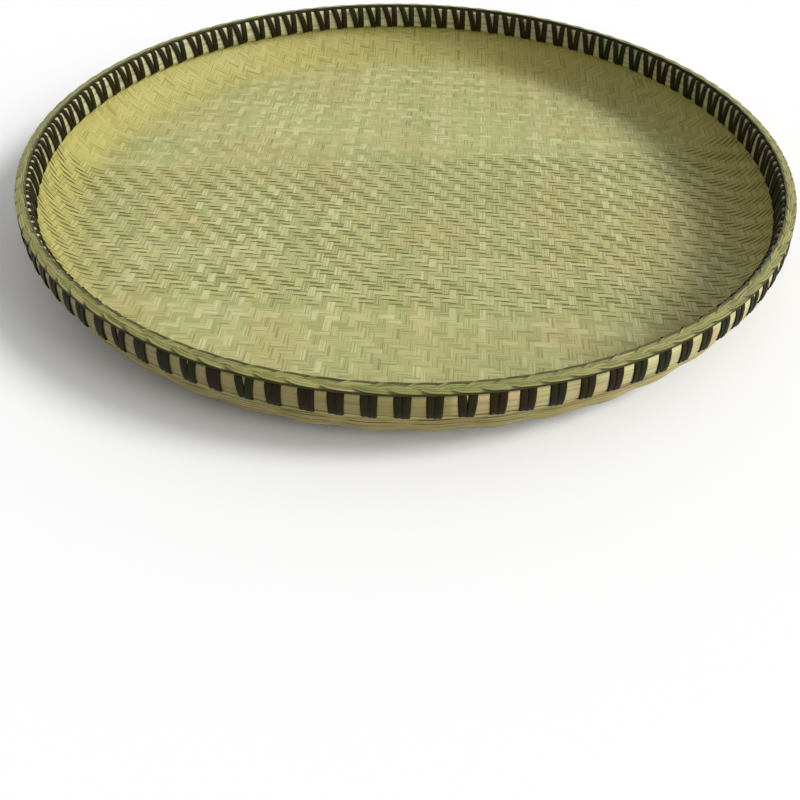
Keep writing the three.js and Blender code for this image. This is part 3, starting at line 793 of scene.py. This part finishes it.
def place_camera():
    """The photograph's viewpoint: in front of the tray and above it, looking down at its front edge. Its
    distance and elevation are those from the middle of the rim, and its pitch is how far it looks down."""
    back = CAMERA_DISTANCE * np.cos(CAMERA_ELEVATION)
    place = np.array([0, -back, RIM_HEIGHT * MM + CAMERA_DISTANCE * np.sin(CAMERA_ELEVATION)])
    level_share = np.cos(CAMERA_PITCH)
    ahead = np.array([np.sin(CAMERA_YAW) * level_share, np.cos(CAMERA_YAW) * level_share,
                      -np.sin(CAMERA_PITCH)])
    right = unit(np.cross(ahead, [0, 0, 1.0]))
    up = np.cross(right, ahead)
    rolled_right = right * np.cos(CAMERA_ROLL) + up * np.sin(CAMERA_ROLL)
    rolled_up = -right * np.sin(CAMERA_ROLL) + up * np.cos(CAMERA_ROLL)
    data = bpy.data.cameras.new("camera")
    data.sensor_width = SENSOR_WIDTH
    data.lens = FOCAL_LENGTH
    data.clip_start = 0.01
    camera = bpy.data.objects.new("camera", data)
    bpy.context.collection.objects.link(camera)
    matrix = np.eye(4)
    matrix[:3] = np.stack([rolled_right, rolled_up, -ahead, place], axis=1)
    camera.matrix_world = Matrix(matrix.tolist())
    bpy.context.scene.camera = camera


def light_studio():
    """Light from a pale world that is brighter on the right than on the left, a broad soft light from the
    right, 40 degrees up, and a weaker one from the right and the front, 28 degrees up. The camera and
    glossy surfaces see the world as plain white."""
    world = bpy.data.worlds.new("studio")
    bpy.context.scene.world = world
    world.use_nodes = True
    tree = world.node_tree
    background = tree.nodes["Background"]
    background.inputs["Color"].default_value = (1, 1, 1, 1)
    seen = background_rays(tree)
    place = tree.nodes.new("ShaderNodeTexCoord")
    direction = tree.nodes.new("ShaderNodeSeparateXYZ")
    tree.links.new(place.outputs["Generated"], direction.inputs["Vector"])
    slope = compute(tree, "MULTIPLY", direction.outputs["X"], WORLD_SLOPE)
    level = compute(tree, "ADD", slope, WORLD_LEVEL)
    tree.links.new(compute(tree, "MAXIMUM", seen, level), background.inputs["Strength"])
    for name, energy, width, tilt, turn in LAMPS:
        lamp = bpy.data.lights.new(name, "SUN")
        lamp.angle = np.radians(width)
        lamp.energy = energy
        window = bpy.data.objects.new(name, lamp)
        bpy.context.collection.objects.link(window)
        window.rotation_euler = (0, np.radians(tilt), np.radians(turn))


# The scene

place_camera()
light_studio()
plain_floor("floor")

# The mat's shade colour is the wall's deeper tint and painted shade; its dark edges on slack wefts are
# painted shade.
mat_finish = bamboo("mat_bamboo", ((0.0, "cbc892"), (0.25, "bfbd82"), (0.65, "b4b679"), (1.0, "a9ad70")),
                    "bfaf74", grain_depth=0.55, roughness=0.6, bump=0.12, edge_depth=0.9, edge_code="53531f",
                    shade_code="aa9f56", drift_along=38.0,
                    edge_stops=((0.42, "000000"), (0.5, "2a2a2a"), (0.56, "a8a8a8"), (0.68, "ffffff")))
# The strips' shade colour and their dark edges near the hole are painted shade.
strip_finish = bamboo("strip_bamboo", ((0.0, "b5ab7a"), (0.35, "aeab77"), (0.7, "a1a672"), (1.0, "a5996c")),
                      "99a173", grain_depth=0.8, grain_across=1300.0, edge_depth=0.65, edge_code="5c5830",
                      shade_code="655c32", gloss=0.2)
ring_finish = bamboo("ring_bamboo", ((0.0, "bdb781"), (0.5, "cbc894"), (1.0, "d6d1a4")), "c0b083",
                     edge_depth=0.3)
row_finish = bamboo("row_bamboo", ((0.0, "ac985c"), (0.3, "b8ab6a"), (0.6, "b2aa68"), (0.85, "bcb078"),
                                   (1.0, "a38559")), "ac965e", edge_depth=0.55, edge_code="655c2c")
# The outer hoop's shade colour is painted shade on its left side.
hoop_finish = bamboo("hoop_bamboo", ((0.0, "d6c08a"), (0.5, "d0c790"), (1.0, "b8c682")), "c29e6a",
                     patch_amount=0.6, grain_depth=0.4, grain_across=420.0, roughness=0.42, bump=0.1,
                     edge_depth=0.2, shade_code="a2945c", drift_along=45.0)
inner_hoop_finish = bamboo("inner_hoop_bamboo", ((0.0, "cdc8a6"), (0.5, "c2bf9a"), (1.0, "b2b28a")), "a8a484",
                           grain_across=420.0, roughness=0.42, bump=0.1, edge_depth=0.2)
# The plait's shade colour is painted shade.
plait_finish = bamboo("plait_bamboo", ((0.0, "a59e62"), (0.4, "959658"), (0.8, "88894d"), (1.0, "9a8b58")),
                      "868d52", grain_depth=0.8, grain_across=1400.0, edge_depth=0.6, edge_code="4a4a22",
                      shade_code="2c2a10")
# Dark sheet under the plait: painted shade, with the lashings' dark tops.
shade_bed_finish = bamboo("shade_bed_bamboo", ((0.0, "33300f"), (1.0, "29290f")), "2c240c", edge_depth=0.2, gloss=0.1)
lashing_finish = bamboo("lashing_bark", ((0.0, "261c0c"), (0.3, "2d200e"), (0.6, "1f240b"), (1.0, "292910")),
                        "30240c", grain_depth=0.9, grain_across=1500.0, roughness=0.55, bump=0.5,
                        edge_depth=0.5, edge_code="0e0c03", gloss=0.12)

STRIP_NODES = [f"floor_strip_{number:02d}" for number in range(1, PAIR_COUNT // 2 + 1)]
RING_NODES = [f"floor_ring_{number}" for number in range(1, len(FLOOR_RING_RADII) + 1)]
ROW_NODES = [f"wall_weaver_{number:02d}" for number in range(1, ROW_PAIRS + 1)]
LOWER_ROW_NODES = ROW_NODES[:10]
UPPER_ROW_NODES = ROW_NODES[10:]


def dress(piece, finish, slot, *nodes):
    """Gives a piece its finish and its body, and hides the solids that it stands for. The slot is not used.
    """
    piece.data.materials.append(finish)
    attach(piece, "root")
    if nodes:
        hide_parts(*nodes)


dress(mat_splits("mat_warps_left", False, -MAT_REACH, 0), mat_finish, "mat", "liner_mat")
dress(mat_splits("mat_warps_right", False, 0, MAT_REACH), mat_finish, "mat")
dress(mat_splits("mat_wefts_near", True, -MAT_REACH, 0), mat_finish, "mat")
dress(mat_splits("mat_wefts_far", True, 0, MAT_REACH), mat_finish, "mat")
dress(floor_strips("floor_strips"), strip_finish, "strips", *STRIP_NODES)
dress(floor_rings("floor_rings"), ring_finish, "rings", *RING_NODES)
dress(standing_border("standing_border"), ring_finish, "rings", "heel_border")
dress(wall_rows("wall_rows_lower", 0, ROW_PAIRS), row_finish, "weavers", *LOWER_ROW_NODES)
dress(wall_rows("wall_rows_upper", ROW_PAIRS, 2 * ROW_PAIRS), row_finish, "weavers", *UPPER_ROW_NODES)
dress(hoop("hoop_outer", outer_hoop_profile()), hoop_finish, "hoops", "outer_hoop")
dress(hoop("hoop_inner", inner_hoop_profile()), inner_hoop_finish, "hoops", "inner_hoop")
# A dark sheet that paints the shade under the plait.
dress(hoop("rim_shade_bed", rim_shade_bed_profile()), shade_bed_finish, "plait")
dress(edge_split("edge_split"), row_finish, "weavers", "hoop_edge_split")
dress(lashings("lashings"), lashing_finish, "lashing", "rim_lashing")
dress(rim_plait("plait"), plait_finish, "plait", "rim_plait")

bpy.context.scene.view_settings.view_transform = "Standard"
bpy.context.view_layer.update()
